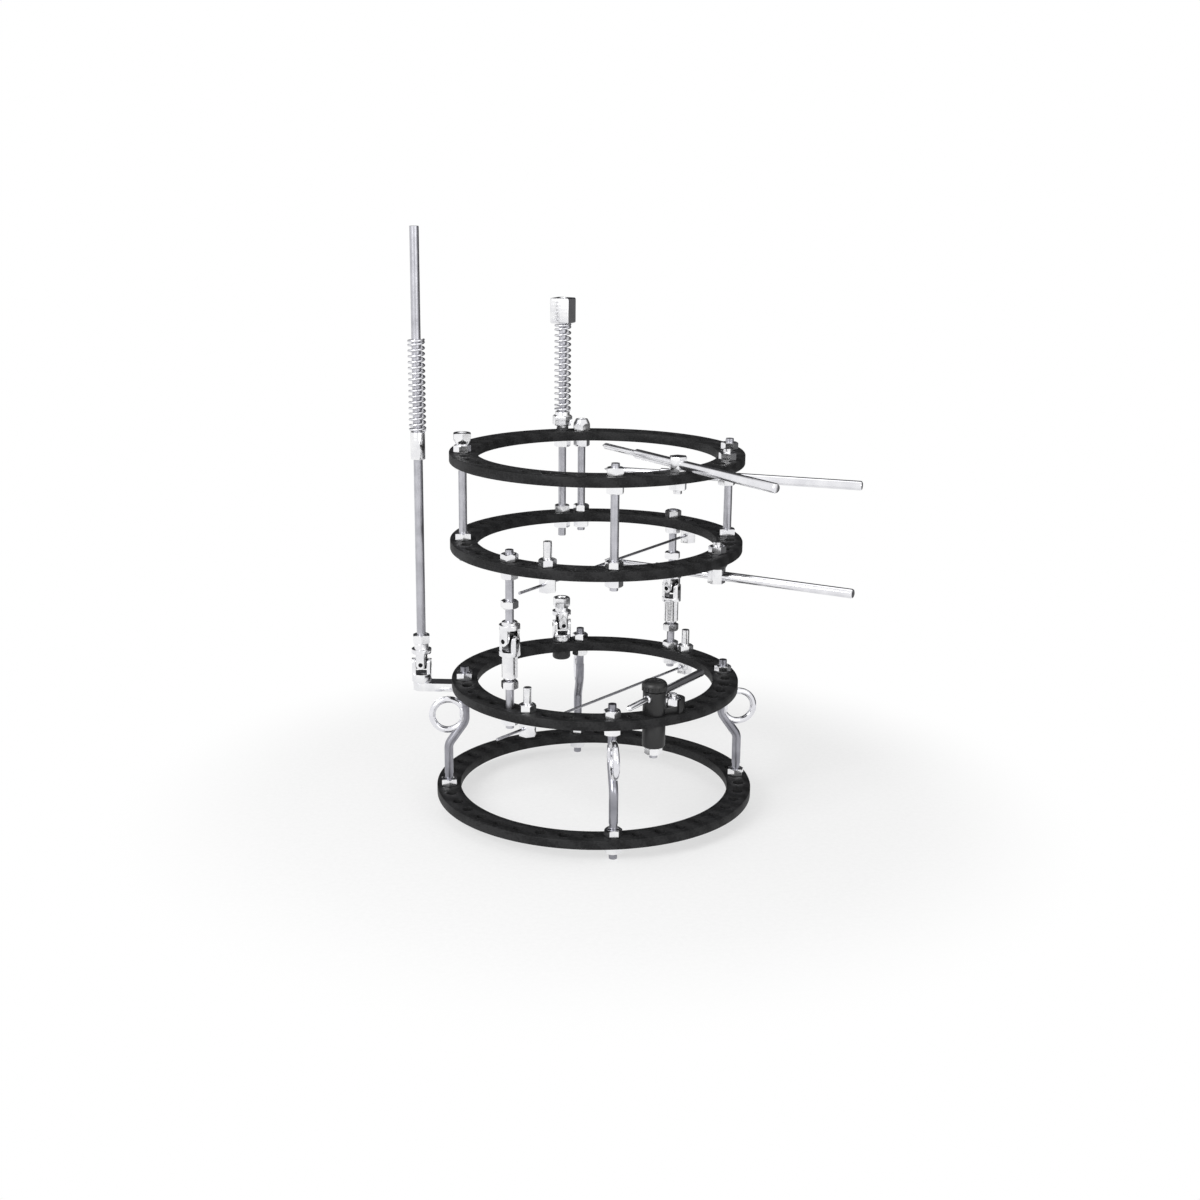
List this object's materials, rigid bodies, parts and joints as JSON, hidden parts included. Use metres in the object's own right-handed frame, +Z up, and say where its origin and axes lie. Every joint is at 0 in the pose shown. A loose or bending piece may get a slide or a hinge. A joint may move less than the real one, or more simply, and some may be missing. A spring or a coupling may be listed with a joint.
{
  "type": "external fixator",
  "caption": "Circular external fixator: drilled black rings on threaded rods with universal hinges, half pins, wires, a spring rod and a tall strut.",
  "frame": {"origin": "centre of the wide base ring's underside", "axes": "+Z up along the common axis of the rings, +X and +Y through connecting rods"},
  "size_m": [0.283, 0.2762, 0.389],
  "materials": {
    "carbon_composite": "satin carbon-fibre composite",
    "black_metal": "black anodised",
    "nut_steel": "bright turned",
    "rod_steel": "rolled fine thread",
    "spring_steel": "drawn wire",
    "wire_steel": "drawn wire",
    "pin_steel": "fine ground",
    "machined_steel": "fine machined"
  },
  "bodies": {
    "lower_frame": {"ring_c": "carbon_composite", "base_ring": "carbon_composite", "ring_c_nuts": "nut_steel", "base_ring_nuts": "nut_steel", "offset_rod_right": "rod_steel", "offset_rod_back": "rod_steel", "offset_rod_left": "rod_steel", "offset_rod_front": "rod_steel", "hinge_stud_back_right": "rod_steel", "hinge_stud_front_left": "rod_steel", "hinge_lower_fork_back_right": "machined_steel", "hinge_lower_fork_front_left": "machined_steel", "hinge_cross_back_right": "machined_steel", "hinge_cross_front_left": "machined_steel", "wire_c": "wire_steel", "wire_bolts_c": "machined_steel", "clamp_upper_block": "black_metal", "clamp_lower_block": "black_metal", "clamp_bolt": "rod_steel", "half_pin_c": "pin_steel", "strut_bar": "machined_steel", "strut_lower_fork": "machined_steel", "button_bolts": "machined_steel", "back_joint_lower_fork": "machined_steel", "back_joint_screw": "black_metal"},
    "upper_frame": {"ring_a": "carbon_composite", "ring_b": "carbon_composite", "ring_a_nuts": "nut_steel", "ring_b_nuts": "nut_steel", "connecting_rod_right": "rod_steel", "connecting_rod_back": "rod_steel", "connecting_rod_left": "rod_steel", "connecting_rod_front": "rod_steel", "hinge_rod_back_right": "rod_steel", "hinge_rod_front_left": "rod_steel", "hinge_upper_fork_back_right": "machined_steel", "hinge_upper_fork_front_left": "machined_steel", "hinge_lock_nuts": "nut_steel", "spring_rod": "rod_steel", "spring_collar": "machined_steel", "cap_spring": "spring_steel", "half_pin_a1": "pin_steel", "half_pin_a2": "pin_steel", "half_pin_b": "pin_steel", "pin_grip_bolts": "machined_steel", "pin_washer": "black_metal", "wire_b": "wire_steel", "wire_bolts_b": "machined_steel"},
    "spring_cap": {"spring_cap": "machined_steel"},
    "back_joint_cross": {"back_joint_cross": "machined_steel"},
    "back_joint_upper_fork": {"back_joint_upper_fork": "machined_steel"},
    "strut_cross": {"strut_cross": "machined_steel"},
    "strut": {"strut_upper_fork": "machined_steel", "strut_rod": "rod_steel", "strut_lock_nut": "nut_steel", "strut_sleeve": "machined_steel", "strut_set_screw": "machined_steel", "strut_spring": "spring_steel"},
    "clamp_knob": {"clamp_knob": "black_metal"}
  },
  "joints": [
    {"name": "frame_hinge", "type": "hinge", "parent": "lower_frame", "child": "upper_frame", "pos_m": [0, 0, 0.127], "axis": [0.7071, 0.7071, 0], "range_deg": [-6, 30]},
    {"name": "spring_cap_slide", "type": "slide", "parent": "upper_frame", "child": "spring_cap", "axis": [0, 0, 1], "range_m": [-0.01, 0], "deforming": ["cap_spring"]},
    {"name": "back_joint_cross_tilt", "type": "hinge", "parent": "lower_frame", "child": "back_joint_cross", "pos_m": [-0.01388, 0.08761, 0.0945], "axis": [-0.9877, -0.1564, 0], "range_deg": [-30, 30]},
    {"name": "back_joint_fork_tilt", "type": "hinge", "parent": "back_joint_cross", "child": "back_joint_upper_fork", "pos_m": [-0.01388, 0.08761, 0.0945], "axis": [-0.1564, 0.9877, 0], "range_deg": [-30, 30]},
    {"name": "strut_cross_tilt", "type": "hinge", "parent": "lower_frame", "child": "strut_cross", "pos_m": [-0.11704, 0.01854, 0.0887], "axis": [-0.9877, 0.1564, 0], "range_deg": [-20, 20]},
    {"name": "strut_tilt", "type": "hinge", "parent": "strut_cross", "child": "strut", "pos_m": [-0.11704, 0.01854, 0.0887], "axis": [-0.1564, -0.9877, 0], "range_deg": [-2, 30]},
    {"name": "clamp_knob_turn", "type": "hinge", "parent": "lower_frame", "child": "clamp_knob", "pos_m": [0.02741, -0.08436, 0.0953], "axis": [0, 0, 1], "range_deg": [-180, 180]}
  ]
}
